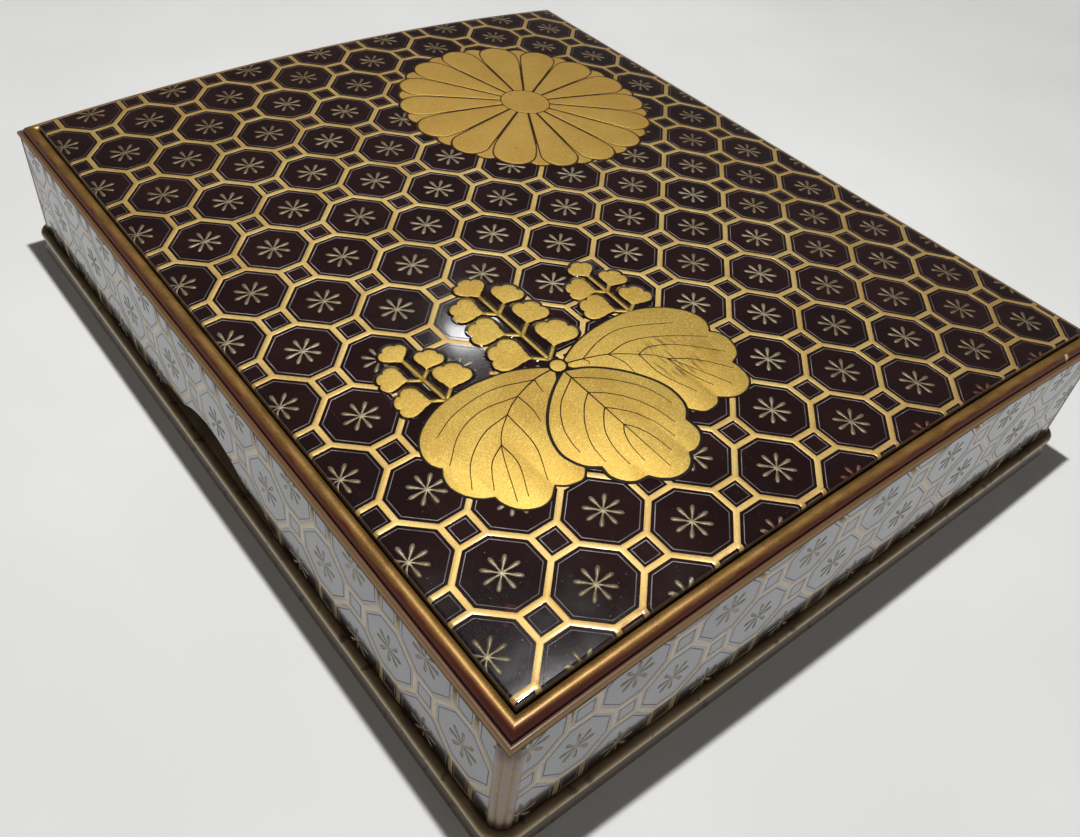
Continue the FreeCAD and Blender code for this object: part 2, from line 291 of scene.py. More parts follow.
def new_piece(name, points, faces, finish, body, stands_for, marks=None):
    """Puts points in millimetres and faces into a piece, merges what meets and turns its faces outwards."""
    mesh = bpy.data.meshes.new(name)
    mesh.from_pydata((np.asarray(points) / 1000).tolist(), [], [list(face) for face in faces])
    for mark, values in (marks or {}).items():
        mesh.attributes.new(mark, "FLOAT", "POINT").data.foreach_set("value", np.asarray(values, dtype=np.float32))
    shell = bmesh.new()
    shell.from_mesh(mesh)
    bmesh.ops.remove_doubles(shell, verts=shell.verts, dist=2e-6)
    bmesh.ops.recalc_face_normals(shell, faces=shell.faces)
    shell.to_mesh(mesh)
    shell.free()
    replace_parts(added(name, mesh, SHARP_EDGE, finish, body), *stands_for)


def swept(profile, place, steps):
    """Points and faces of a profile carried along steps, closed round the profile and at both ends."""
    loop = np.vstack([profile, profile[:1]])
    points = np.stack([place(loop[:, 0], loop[:, 1], step) for step in steps])
    rows, columns = points.shape[:2]
    faces = grid_faces(rows, columns).tolist()
    faces.append(list(range(columns - 1)))
    faces.append([(rows - 1) * columns + count for count in range(columns - 1)])
    return points.reshape(-1, 3), faces


rim_centre = (RIM_REACH, RIM_LEVEL)
nip_angle = 180 - math.degrees(math.acos((RIM_REACH + LEDGE_SETBACK) / RIM_RADIUS))
undercut = arc(rim_centre, RIM_RADIUS, -RIM_UNDERCUT, -RIM_UNDERCUT, 1)[0]
foot_profile = np.vstack([
    [(-BOX_INSET, 0), (-BOX_INSET, LEDGE), (-LEDGE_SETBACK, LEDGE)],
    arc(rim_centre, RIM_RADIUS, nip_angle, -RIM_UNDERCUT, 25),
    arc_through(undercut, (COVE_REACH, undercut[1] / 2), (FOOT_REACH, 0), 9)[1:],
])


def foot_gold(coat):
    """Gold over brown lacquer: tan on the rim's shoulder, a painted highlight on its gold crown, brown where worn."""
    level = coat.along("Z") * 1000
    speckle = coat.grain(0.7, 3.0)
    clouds = coat.grain(14, 3.0)
    crown = level.band(8.0, 9.4) * level.band(11.1, 10.0)
    # Painted light: the tan and the brown of the hollow below are made lighter, to make up for the lid's shadow on
    # the foot.
    tint = coat.blend(clouds.band(0.3, 0.7), colour(134, 112, 88), colour(164, 138, 104))
    # A painted highlight: a bright band along the crown of the rim.
    tint = tint.over(crown * (0.55 + speckle * 0.5), 196, 174, 124)
    tint = tint.over(level.band(7.4, 5.0), 126, 110, 94)
    worn = coat.grain(5, 4.0).band(0.60, 0.68) * 0.6
    tint = tint.over(worn, 64, 36, 24)
    return {"Base Color": tint, "Roughness": 0.36 + speckle * 0.2, "Metallic": crown * 0.45,
            "Normal": coat.bump(speckle + clouds * 2, 0.015)}


foot_finish = new_finish("foot_gold_rubbed", foot_gold, Coat_Weight=0.3, Coat_Roughness=0.2)


def foot_side(out, half_out, half_along):
    """Steps and placing of one side: a 45 degree turn about the point inset from the corner, a run, a turn."""
    out = np.array(out)
    ahead = np.array([-out[1], out[0]])
    run = half_along - BOX_INSET
    steps = [(-run, turn) for turn in np.radians(np.linspace(-45, 0, 13))]
    steps += [(spot, 0) for spot in np.linspace(-run, run, 9)[1:]]
    steps += [(run, turn) for turn in np.radians(np.linspace(0, 45, 13))[1:]]

    def place(reach, height, step):
        spot, turn = step
        plan = out * (half_out - BOX_INSET) + ahead * spot
        plan = plan + (BOX_INSET + reach)[:, None] * (math.cos(turn) * out + math.sin(turn) * ahead)
        return np.column_stack([plan, height])

    return place, steps


for side, measures in SIDES.items():
    points, faces = swept(foot_profile, *foot_side(*measures))
    new_piece("foot_ring_" + side, points, faces, foot_finish, "box", ("foot_" + side,))


# Lid sides: thin boards between the posts, with the same black lacquer as the top, polished until they mirror the
# table. The CAD's own boards are kept. The long ones have the hand-hold.
def black_lacquer(coat):
    """Polished brown black lacquer with faint clouds, fine dust, hairline scratches and a hazy near left corner."""
    clouds = coat.grain(30, 3.0)
    dust = coat.grain(0.9, 1.0).band(0.73, 0.80)
    hairs = coat.grain(0.5, 2.0, coat.place((1, 0.02, 1), (0, 0, 0.7))).band(0.70, 0.76) * 0.4
    tint = coat.blend(clouds.band(0.35, 0.7), colour(28, 11, 12), colour(38, 17, 16))
    tint = tint.over((dust * 0.5).most(hairs), 80, 62, 54)
    corner = (coat.along("X") + coat.along("Y") + clouds * 0.06).band(-0.250, -0.320)
    haze = corner * (0.25 + coat.grain(0.8, 2.0).band(0.45, 0.62))
    tint = tint.over(haze * 0.3, 62, 66, 72)
    tint = tint.over(corner * coat.grain(7, 3.0).band(0.64, 0.70) * 0.6, 110, 52, 50)
    peel = coat.grain(6.0, 2.0) + coat.grain(1.5, 1.0) * 0.12
    smears = coat.grain(22, 4.0).band(0.4, 0.8)
    return {"Base Color": tint, "Roughness": 0.13 + smears * 0.08 + dust * 0.2,
            "Normal": coat.bump(peel, 0.012)}


def side_lacquer(coat):
    """The same lacquer, dulled by hands."""
    sockets = black_lacquer(coat)
    sockets["Roughness"] = sockets["Roughness"] + 0.10
    return sockets


side_finish = new_finish("side_lacquer_black", side_lacquer, Coat_Weight=1.0, Coat_Roughness=0.10)
for node in ("lid_side_left", "lid_side_right", "lid_side_front", "lid_side_back"):
    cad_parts[node].data.materials.clear()
    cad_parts[node].data.materials.append(side_finish)


# Corner posts: quarter rounds glued between the sides, their curved face worked into three reeds.
# Gold lacquer lies in the hollows between the reeds, and the crowns are rubbed to a pinkish brown.
SEAT_RADIUS = (LID_HALF_WIDTH ** 2 + 64) / 16
SEAT_LEVEL = LEDGE + 51.5
POST_RADIUS = 6.0
POST_REEDS = 3
POST_BULGE = 0.4
TONGUE = 3.2
WALL_LIP = 3.0


def vault(x, lift):
    """Height of the vault that arches from side to side, set off outwards by a lift."""
    return SEAT_LEVEL + 8 - SEAT_RADIUS + np.sqrt((SEAT_RADIUS + lift) ** 2 - np.asarray(x) ** 2)


def post_gold(coat):
    """Stripes from a mark that is 0 in the hollows and 1 on the crowns, a red brown head and a dark foot."""
    crown = coat.apply("Attribute", {"attribute_name": "crown"}, {}, "Fac")
    speckle = coat.grain(0.6, 3.0)
    rubbed = coat.grain(9, 4.0)
    tint = coat.blend(speckle.band(0.3, 0.7), colour(126, 106, 62), colour(164, 142, 86))
    tint = tint.over(crown.band(0.50, 0.90), 150, 126, 112)
    tint = tint.over(rubbed.band(0.55, 0.70) * 0.5, 92, 66, 54)
    # Painted shade: dark in the creases between the reeds.
    tint = tint.over(crown.band(0.12, 0.0), 54, 38, 28)
    foot = (coat.along("Z") * 1000 + speckle * 2).band(18.5, 14.5)
    tint = tint.over(foot * 0.8, 58, 34, 26)
    head = (coat.along("Z") * 1000 + rubbed * 8).band(56.0, 65.0)
    tint = tint.over(head * 0.8, 96, 44, 30)
    return {"Base Color": tint, "Roughness": 0.34 + speckle * 0.2, "Metallic": 0.2 + speckle * 0.2,
            "Normal": coat.bump(speckle, 0.02)}


post_finish = new_finish("post_gold_reeded", post_gold, Coat_Weight=0.35, Coat_Roughness=0.12)
reed_points = []
reed_crown = 1 - np.linspace(-1, 1, 11)[:-1] ** 2
for reed in range(POST_REEDS):
    first, middle, last = [arc((0, 0), POST_RADIUS + bulge, angle, angle, 1)[0] for bulge, angle in (
        (0, 180 + 30 * reed), (POST_BULGE, 195 + 30 * reed), (0, 210 + 30 * reed))]
    reed_points.append(arc_through(first, middle, last, 11)[:-1])
post_plan = np.vstack(reed_points + [[(0, -POST_RADIUS), (0, -3), (0, 0), (-3, 0)]])
post_crown = np.append(np.tile(reed_crown, POST_REEDS), np.zeros(4))

for end, ahead in (("front", 1), ("back", -1)):
    for side, across in (("left", 1), ("right", -1)):
        x = across * (post_plan[:, 0] - LID_HALF_WIDTH + POST_RADIUS)
        y = ahead * (post_plan[:, 1] - LID_HALF_LENGTH + POST_RADIUS)
        under = np.minimum(post_plan[:, 0], post_plan[:, 1]) + POST_RADIUS >= WALL_LIP - 0.01
        top = vault(x, np.where(under, -TONGUE, 0.0))
        count = len(x)
        levels = [np.full(count, LEDGE), np.full(count, LEDGE + 25), top]
        points = np.vstack([np.column_stack([x, y, level]) for level in levels])
        ring = np.arange(count)
        after = np.roll(ring, -1)
        faces = [[a + count * row, b + count * row, b + count * (row + 1), a + count * (row + 1)]
                 for row in (0, 1) for a, b in zip(ring.tolist(), after.tolist())]
        faces += [ring[::-1].tolist(), (ring + 2 * count).tolist()]
        new_piece(f"reeded_post_{end}_{side}", points, faces, post_finish, "lid",
                  (f"lid_post_{end}_{side}",), {"crown": np.tile(post_crown, 3)})


# Top mouldings: a round bead with a fine reed outside and below it, mitred at the corners, glued on the sides.
# The short ones are bent to the vault. Gold lies on top, rubbed through to red brown on the outer shoulder.
BEAD_RADIUS = 3.0
BEAD_HEIGHT = 1.8
BEAD_INSET = 5.279
REED_RADIUS = 1.4
REED_HEIGHT = 0.8
REED_INSET = 1.2

bead_to_reed = math.hypot(BEAD_INSET - REED_INSET, BEAD_HEIGHT - REED_HEIGHT)
tilt = math.degrees(math.atan2(BEAD_HEIGHT - REED_HEIGHT, BEAD_INSET - REED_INSET))
overlap = (REED_RADIUS ** 2 - BEAD_RADIUS ** 2 + bead_to_reed ** 2) / (2 * bead_to_reed)
reed_start = tilt + math.degrees(math.acos(overlap / REED_RADIUS))
bead_end = tilt + 180 - math.degrees(math.acos((bead_to_reed - overlap) / BEAD_RADIUS))
bead_start = -math.degrees(math.asin(BEAD_HEIGHT / BEAD_RADIUS))
reed_end = 180 + math.degrees(math.asin(REED_HEIGHT / REED_RADIUS))
bead_profile = np.vstack([
    arc((BEAD_INSET, BEAD_HEIGHT), BEAD_RADIUS, bead_start, bead_end, 33),
    arc((REED_INSET, REED_HEIGHT), REED_RADIUS, reed_start, reed_end, 15)[1:],
])
bead_angles = np.concatenate([np.linspace(0.0, 0.7, 33), np.linspace(0.7, 1.0, 15)[1:]])


# Middle of the one chip, in metres
CHIP = (0.1354, -0.1954)


def bead_gold(coat):
    """Wear by the place round the moulding: 0 at its inner foot, 0.7 in the groove, 1 at the reed's foot."""
    round_ = coat.apply("Attribute", {"attribute_name": "round"}, {}, "Fac")
    speckle = coat.grain(0.6, 3.0)
    clouds = coat.grain(11, 4.0)
    tint = coat.blend(clouds.band(0.3, 0.7), colour(126, 92, 46), colour(160, 122, 68))
    tint = tint.over(speckle.band(0.5, 0.7) * 0.3, 204, 168, 100)
    corner = (coat.along("X") + coat.along("Y") + clouds * 0.08).band(-0.26, -0.36)
    worn = (round_ + (clouds - 0.5) * 0.22 + corner * 0.10).band(0.44, 0.56)
    tint = coat.blend(worn, tint, coat.blend(corner, colour(84, 36, 20), colour(64, 18, 8)))
    groove = round_.band(0.655, 0.69) * round_.band(0.74, 0.71)
    reed = round_.band(0.71, 0.76) * round_.band(0.93, 0.88)
    tint = coat.blend(reed, tint, coat.blend(round_.band(0.80, 0.88), colour(100, 70, 46), colour(142, 114, 74)))
    x, y = coat.along("X") - CHIP[0], coat.along("Y") - CHIP[1]
    chip = (x * x + y * y + coat.grain(1.2) * 4e-7).band(2.2e-6, 1.2e-6)
    tint = tint.over(chip, 216, 186, 138)
    # Painted shade: near black in the groove and along both feet, where the moulding meets the board and the side.
    crevice_shade = groove.most(round_.band(0.90, 0.95)).most(round_.band(0.10, 0.03))
    tint = tint.over(crevice_shade, 24, 14, 11)
    return {"Base Color": tint, "Roughness": 0.36 + speckle * 0.16, "Metallic": (1 - worn) * 0.6,
            "Normal": coat.bump(speckle * 0.5 + clouds * 1.5, 0.015)}


bead_finish = new_finish("bead_gold_rubbed", bead_gold, Coat_Weight=0.12, Coat_Roughness=0.2, Specular_IOR_Level=0.3)


def long_bead(inset, height, step):
    """Section of the left moulding at a step from -1 to 1: mitred, its height set out from the vault."""
    x = inset - LID_HALF_WIDTH
    return np.column_stack([x, step * (LID_HALF_LENGTH - inset), vault(x, height)])


def short_bead(inset, height, step):
    """Section of the front moulding at a step from -1 to 1, over the vault."""
    x = step * (LID_HALF_WIDTH - inset)
    return np.column_stack([x, inset - LID_HALF_LENGTH, vault(x, height)])


for side, place, count, mirrored in (("left", long_bead, 41, (1, 1, 1)), ("right", long_bead, 41, (-1, 1, 1)),
                                     ("front", short_bead, 61, (1, 1, 1)), ("back", short_bead, 61, (1, -1, 1))):
    points, faces = swept(bead_profile, place, np.linspace(-1, 1, count))
    marks = np.tile(np.append(bead_angles, 0.0), count)
    new_piece("bead_" + side, points * mirrored, faces, bead_finish, "lid",
              ("lid_bead_" + side,), {"round": marks})


# Top board: one arched board whose thin tongue is let into the sides, with a raised field that has rounded edges.
# It is covered with polished black lacquer. The crests on it reach up to the CAD's surface.
FIELD_RISE = 6.8
GROUND_DROP = 0.3
FIELD_EDGE = 1.2
FIELD_INSET = 8.379


def field_lines(half_size):
    """Places across the board and how far each lies under the crests: tongue, upright side, rounded edge."""
    corner = half_size - FIELD_INSET
    turn = np.linspace(90, 0, 9)
    edge = corner - FIELD_EDGE + FIELD_EDGE * np.sin(np.radians(turn))
    drop = GROUND_DROP + FIELD_EDGE * (1 - np.cos(np.radians(turn)))
    middle = np.linspace(corner - FIELD_EDGE, 0, 30)[1:]
    out = np.concatenate([[half_size - WALL_LIP, corner], edge, middle])
    down = np.concatenate([[FIELD_RISE, FIELD_RISE], drop, np.full(len(middle), GROUND_DROP)])
    return np.concatenate([-out, out[-2::-1]]), np.concatenate([down, down[-2::-1]])


top_finish = new_finish("top_lacquer_black", black_lacquer, Coat_Weight=0.7, Coat_Roughness=0.07)
across, drop_across = field_lines(LID_HALF_WIDTH)
along, drop_along = field_lines(LID_HALF_LENGTH)
drop = np.maximum(drop_across[None, :], drop_along[:, None])
plan_x, plan_y = np.meshgrid(across, along)
upper = np.stack([plan_x, plan_y, vault(plan_x, FIELD_RISE - drop)], -1).reshape(-1, 3)
lower = np.stack([plan_x, plan_y, vault(plan_x, np.full_like(plan_x, -TONGUE))], -1).reshape(-1, 3)
rows, columns = plan_x.shape
edge_ring = np.concatenate([np.arange(columns), np.arange(1, rows) * columns + columns - 1,
                            np.arange(columns - 2, -1, -1) + (rows - 1) * columns,
                            np.arange(rows - 2, 0, -1) * columns])
size = rows * columns
faces = grid_faces(rows, columns).tolist() + grid_faces(rows, columns, size)[:, ::-1].tolist()
faces += [[a, b, b + size, a + size] for a, b in zip(edge_ring.tolist(), np.roll(edge_ring, -1).tolist())]
new_piece("lid_top", np.vstack([upper, lower]), faces, top_finish, "lid", ("lid_top_board",))


# Pattern: octagons and small squares of gold lines over the whole lid, drawn flat and laid on the top and the four
# sides. The lines are lacquer, sprinkled with gold powder while wet, so they stand a little proud of the ground.
PITCH = 21.0
SIDE_PITCH = 21.4
SQUARE_START = (-155.5, -193.3)
SIDE_ROW = 38.0
SIDE_STARTS = {"front": -137.7, "back": -137.7, "left": -158.3, "right": -158.3}
HAND_HOLD = {"width": 104.0, "height": 16.0, "shoulder_width": 70.0, "shoulder_height": 7.2, "crown_width": 54.0}


def on_top(p, q, lift):
    """Flat places on the field: past the start of its rounded edges they go on by their length round the edge."""
    places = []
    drops = []
    for flat, half_size in ((p, LID_HALF_WIDTH), (q, LID_HALF_LENGTH)):
        start = half_size - FIELD_INSET - FIELD_EDGE
        turn = np.clip(np.abs(flat) - start, 0, None) / FIELD_EDGE
        places.append(np.sign(flat) * (np.minimum(np.abs(flat), start) + (FIELD_EDGE + lift) * np.sin(turn)))
        drops.append(FIELD_EDGE - (FIELD_EDGE + lift) * np.cos(turn))
    x, y = places
    return np.stack([x, y, vault(x, FIELD_RISE - GROUND_DROP - np.maximum(*drops))], -1)


def on_side(side):
    """Flat places on one side: along it to the right as seen from outside, and upwards."""
    out, half_out, _ = SIDES[side]

    def place(p, q, lift):
        return np.stack([out[0] * (half_out + lift) - out[1] * p, out[1] * (half_out + lift) + out[0] * p, q], -1)

    return place


def hold_height(p):
    """Height of the lower edge of a long side: the hand-hold's crown, level shoulders and rising ends."""
    hold = HAND_HOLD
    rise = hold["height"] - hold["shoulder_height"]
    crown_radius = (hold["crown_width"] ** 2 / 4 + rise ** 2) / (2 * rise)
    run = (hold["width"] - hold["shoulder_width"]) / 2
    end_radius = (run ** 2 + hold["shoulder_height"] ** 2) / (2 * hold["shoulder_height"])
    reach = np.abs(p)
    crown = hold["height"] - crown_radius + np.sqrt(np.clip(crown_radius ** 2 - reach ** 2, 0, None))
    past = np.clip(reach - hold["shoulder_width"] / 2, 0, run)
    end = hold["shoulder_height"] - end_radius + np.sqrt(end_radius ** 2 - past ** 2)
    inside = np.where(reach < hold["crown_width"] / 2, crown, end)
    return LEDGE + np.where(reach < hold["width"] / 2, inside, 0.0)


def octagon(side_reach, corner_reach, lift=0.0):
    """Corners from the reach along the rows and the reach between them, counter clockwise, with a lift."""
    cut = corner_reach * math.sqrt(2) - side_reach
    quarter = np.array([(side_reach, -cut), (side_reach, cut)])
    across = quarter[:, ::-1]
    return np.column_stack([np.vstack([quarter, across * (-1, 1), -quarter, across * (1, -1)]), np.full(8, lift)])


def square(reach, lift=0.0):
    """Corners of a square, counter clockwise, with a lift."""
    return np.array([(reach, -reach, lift), (reach, reach, lift), (-reach, reach, lift), (-reach, -reach, lift)])


def loop_faces(depth, corners):
    """Quads between one closed loop of corners and the next."""
    count = np.arange(depth * corners).reshape(depth, corners)
    low, high = count[:-1], count[1:]
    return np.stack([low, high, np.roll(high, -1, 1), np.roll(low, -1, 1)], -1).reshape(-1, 4).tolist()


def rings(centres, loops):
    """The faces between one loop of corners and the next, repeated about each centre."""
    return repeated(centres, (loops.reshape(-1, 3), loop_faces(*loops.shape[:2])))


def joined(*sheets):
    """Several sets of points and faces as one."""
    points = []
    faces = []
    start = 0
    for some_points, some_faces in sheets:
        points.append(some_points)
        faces += [[corner + start for corner in face] for face in some_faces]
        start += len(some_points)
    return np.vstack(points), faces


LINE_LOOPS = {"octagon": [octagon(0.680, 0.650, -0.03), octagon(0.688, 0.658, 0.06), octagon(0.736, 0.7071, 0.08)],
              "square": [square(0.208, -0.03), square(0.216, 0.06), square(0.264, 0.08)]}
THREAD_LOOPS = {"octagon": [octagon(0.611, 0.582, 0.03), octagon(0.629, 0.600, 0.03)],
                "square": [square(0.152, 0.03), square(0.169, 0.03)]}
PETAL_STATIONS = [(0.030, 0.0124), (0.12, 0.018), (0.21, 0.033), (0.275, 0.041), (0.32, 0.033), (0.344, 0.012)]


def flower():
    """Eight clubs that widen outwards from a small eye: their half width at each reach from the centre."""
    stations = np.array(PETAL_STATIONS)
    points = []
    faces = []
    for club in range(8):
        turn = math.radians(45 * club)
        ahead = np.array([math.cos(turn), math.sin(turn)])
        aside = np.array([-math.sin(turn), math.cos(turn)])
        edges = [stations[:, :1] * ahead + side * stations[:, 1:] * aside for side in (-1, 1)]
        points.append(np.stack(edges, 1).reshape(-1, 2))
        faces += (grid_faces(len(stations), 2, club * 2 * len(stations))[:, ::-1]).tolist()
    faces.append([club * 2 * len(stations) + side for club in range(8) for side in (0, 1)])
    points = np.vstack(points)
    return np.column_stack([points, np.full(len(points), 0.045)]), faces


def repeated(centres, shape):
    """A shape of points and faces about each of the centres."""
    points, faces = shape
    every = (centres[:, None, :] + points[None]).reshape(-1, 3)
    step = len(points)
    return every, [[corner + step * turn for corner in face] for turn in range(len(centres)) for face in faces]


PATTERN_DEPTH = 0.12


def spot_along(axis, reach):
    """A flat place on one of the two axes."""
    return (reach, 0, 0) if axis == 0 else (0, reach, 0)


def laid(name, sheet, place, folds, limits, edges, finish, depth=PATTERN_DEPTH):
    """Folds and trims a flat sheet, puts it in its place on the lid and gives it a thickness into the ground.

    Edges are pairs of a height over the flat and which side of it goes: the sheet is sheared until the edge is
    level, cut, and sheared back.
    """
    points, faces = sheet
    mesh = bpy.data.meshes.new(name)
    mesh.from_pydata(points.tolist(), [], faces)
    shell = bmesh.new()
    shell.from_mesh(mesh)
    bmesh.ops.remove_doubles(shell, verts=shell.verts, dist=0.004)

    def cut(spot, normal, trim):
        every = list(shell.verts) + list(shell.edges) + list(shell.faces)
        bmesh.ops.bisect_plane(shell, geom=every, dist=1e-4, plane_co=spot, plane_no=normal, clear_outer=trim)

    for axis, reach in folds:
        cut(spot_along(axis, reach), spot_along(axis, 1), False)
    for axis, reach in limits:
        for way in (-1, 1):
            cut(spot_along(axis, way * reach), spot_along(axis, way), True)
    for height, way in edges:
        for vertex in shell.verts:
            vertex.co.y -= float(height(vertex.co.x))
        cut((0, 0, 0), (0, way, 0), True)
        for vertex in shell.verts:
            vertex.co.y += float(height(vertex.co.x))
    shell.to_mesh(mesh)
    shell.free()
    flat = np.empty(len(mesh.vertices) * 3)
    mesh.vertices.foreach_get("co", flat)
    p, q, lift = flat.reshape(-1, 3).T
    mesh.vertices.foreach_set("co", (place(p, q, lift) / 1000).astype(np.float32).reshape(-1))
    skin = added(name, mesh, SHARP_LINE, finish, "lid").modifiers.new("thickness", "SOLIDIFY")
    skin.thickness = depth / 1000
    skin.offset = -1


# Middle of the pool of light painted on the lid's pattern, in metres
LIGHT_POOL_PLACE = (-0.06, -0.05)


def painted_light_pool(coat):
    """Painted light: 1 round a place near the lid's middle, by the small lamp's glare, down to 0 by the edges."""
    x, y = coat.along("X") - LIGHT_POOL_PLACE[0], coat.along("Y") - LIGHT_POOL_PLACE[1]
    return (x * x + y * y + coat.grain(60) * 0.01).band(0.055, 0.006)


def line_gold(coat):
    """Fine gold powder: a grain of brighter and duller specks, tarnished clouds, painted light, worn pink at the near
    edge.
    """
    speck = coat.grain(0.30, 1.0)
    grit = coat.grain(0.8, 2.0)
    clouds = coat.grain(26, 3.0)
    tint = coat.blend(clouds.band(0.3, 0.7), colour(206, 174, 100), colour(226, 198, 126))
    tint = tint.over(grit.band(0.62, 0.42) * 0.30, 170, 134, 72)
    tint = tint.over(speck.band(0.60, 0.72) * 0.6, 246, 226, 164)
    # Painted light: duller away from the pool of light near the lid's middle.
    tint = tint.over((1 - painted_light_pool(coat)) * 0.35, 158, 118, 62)
    near = (coat.along("Y") * 1000 + clouds * 14).band(-174.0, -186.0) * coat.grain(2.2, 3.0).band(0.50, 0.60)
    tint = tint.over(near * 0.7, 176, 120, 92)
    return {"Base Color": tint, "Roughness": 0.50 + grit * 0.2, "Metallic": 0.75 - near * 0.5,
            "Normal": coat.bump(speck + grit * 0.6, 0.02)}


def thread_silver(coat):
    """Thin lines of silver powder, tarnished to a violet grey, rubbed thin in places, darker away from painted light.
    """
    grit = coat.grain(0.7, 2.0)
    clouds = coat.grain(30, 3.0)
    tint = coat.blend(clouds.band(0.35, 0.65), colour(120, 114, 112), colour(150, 146, 148))
    tint = tint.over(grit.band(0.60, 0.72) * 0.5, 70, 60, 62)
    # Painted light: darker away from the pool of light near the lid's middle.
    tint = tint.over((1 - painted_light_pool(coat)) * 0.75, 78, 64, 52)
    return {"Base Color": tint, "Roughness": 0.42 + grit * 0.2, "Metallic": 0.75, "Normal": coat.bump(grit, 0.01)}


def flower_silver(coat):
    """Flowers of silver and gold powder mixed, tan grey, with darker grains, painted light, worn red along the front
    edge.
    """
    grit = coat.grain(0.55, 2.0)
    clouds = coat.grain(40, 2.0)
    tint = coat.blend(clouds.band(0.35, 0.65), colour(146, 134, 106), colour(174, 164, 136))
    tint = tint.over(grit.band(0.52, 0.68) * 0.5, 112, 100, 84)
    # Painted light: darker away from the pool of light near the lid's middle.
    tint = tint.over((1 - painted_light_pool(coat)) * 0.75, 112, 96, 66)
    on_lid_top = coat.along("Z").band(0.066, 0.069)
    front = coat.along("Y").band(-0.177, -0.184) * coat.along("X").band(-0.10, -0.02) * on_lid_top
    tint = tint.over(front * 0.8, 104, 48, 38)
    return {"Base Color": tint, "Roughness": 0.46 + grit * 0.2, "Metallic": 0.6 + grit * 0.3,
            "Normal": coat.bump(grit, 0.015)}


def side_line_gold(coat):
    """The same gold on the sides, rubbed thin so it shows less metal, and paler as a painted reflection of the pale
    table.
    """
    sockets = line_gold(coat)
    # Painted reflection: half blended to a pale cream, the table's sheen at a glancing view.
    sockets["Base Color"] = coat.blend(0.5, sockets["Base Color"], colour(186, 168, 140))
    sockets["Metallic"] = sockets["Metallic"] * 0.5
    return sockets


side_line_finish = new_finish("side_gold_lines", side_line_gold, Coat_Weight=1.0, Coat_Roughness=0.14)
line_finish = new_finish("pattern_gold_lines", line_gold, Coat_Weight=0.8, Coat_Roughness=0.18)
thread_finish = new_finish("pattern_silver_thread", thread_silver)
flower_finish = new_finish("pattern_flowers", flower_silver)
side_flower_finish = new_finish("side_flowers", flower_silver, Coat_Weight=0.8, Coat_Roughness=0.14)


def pattern_sheets(start, pitch, columns, rows, odd, gold, silver):
    """The gold lines, the silver threads inside them and the flowers of one face, in its gold and silver.

    The centres are a checked grid, with octagons where column and row add up to an odd number, or to an even one.
    """
    i, j = np.meshgrid(columns, rows)
    centres = np.stack([start[0] + pitch[0] * i, start[1] + pitch[1] * j, np.zeros(i.shape)], -1)
    octagons, squares = (centres[(i + j) % 2 == parity] for parity in (odd, 1 - odd))
    stretch = np.array([*pitch, 1.0])
    lines, threads = (joined(rings(octagons, np.stack(loops["octagon"]) * stretch),
                             rings(squares, np.stack(loops["square"]) * stretch))
                      for loops in (LINE_LOOPS, THREAD_LOOPS))
    points, faces = flower()
    return (("gold_lines", lines, gold), ("silver_thread", threads, thread_finish),
            ("flowers", repeated(octagons, (points * stretch, faces)), silver))


field_x = LID_HALF_WIDTH - FIELD_INSET - FIELD_EDGE
field_y = LID_HALF_LENGTH - FIELD_INSET - FIELD_EDGE
top_folds = [(axis, way * (start + past)) for axis, start in ((0, field_x), (1, field_y)) for way in (-1, 1)
             for past in np.arange(6) * FIELD_EDGE / 4]
top_limits = ((0, field_x + 1.5 * FIELD_EDGE), (1, field_y + 1.5 * FIELD_EDGE))
for kind, sheet, finish in pattern_sheets(SQUARE_START, (PITCH, PITCH), np.arange(-1, 17), np.arange(-1, 20), 1,
                                          line_finish, flower_finish):
    laid("top_" + kind, sheet, on_top, top_folds, top_limits, (), finish)

# The sheets of the sides stop just short of the sides' edges, and fold where the hand-hold's edge turns
hold_folds = [(0, spot) for spot in (*np.linspace(-52, 52, 53).tolist(), -35, -27, 27, 35)]
for side in SIDES:
    if side in ("left", "right"):
        folds = hold_folds
        edges = ((lambda x: SEAT_LEVEL - 0.1, 1), (lambda x: hold_height(x) + 0.25, -1))
    else:
        folds = []
        edges = ((lambda x: vault(x, 0.0) - 0.1, 1), (lambda x: LEDGE + 0.25, -1))
    limits = ((0, SIDES[side][2] - POST_RADIUS),)
    for kind, sheet, finish in pattern_sheets((SIDE_STARTS[side], SIDE_ROW), (PITCH, SIDE_PITCH), np.arange(-2, 18),
                                              np.arange(-2, 3), 0, side_line_finish, side_flower_finish):
        laid(f"{side}_{kind}", sheet, on_side(side), folds, limits, edges, finish)


# Chrysanthemum crest: sixteen front petals round a disc, with the tips of sixteen more showing between them.
# Each petal is raised lacquer under thick gold powder, a little crowned, and dark lacquer shows between them.
FLOWER_PLACE = (60.1, 87.5)
DISC_RADIUS = 12.9
PETAL_ROOT = 12.0
PETAL_SHOULDER = 57.0
PETAL_HALF_WIDTH = 10.0
PETAL_TIP = 67.0
BACK_ROOT = 46.0
BACK_NARROW = 0.8
BACK_TIP = 66.4
DARK_LINE = 1.2
# The directions in degrees of the dark lines between the front petals
PETAL_LINES = [11.3, 34.3, 55.5, 80.4, 103.4, 126.4, 147.4, 169.4, 194.1, 214.2, 239.3, 259.0, 281.2, 303.6, 326.5,
               348.5]


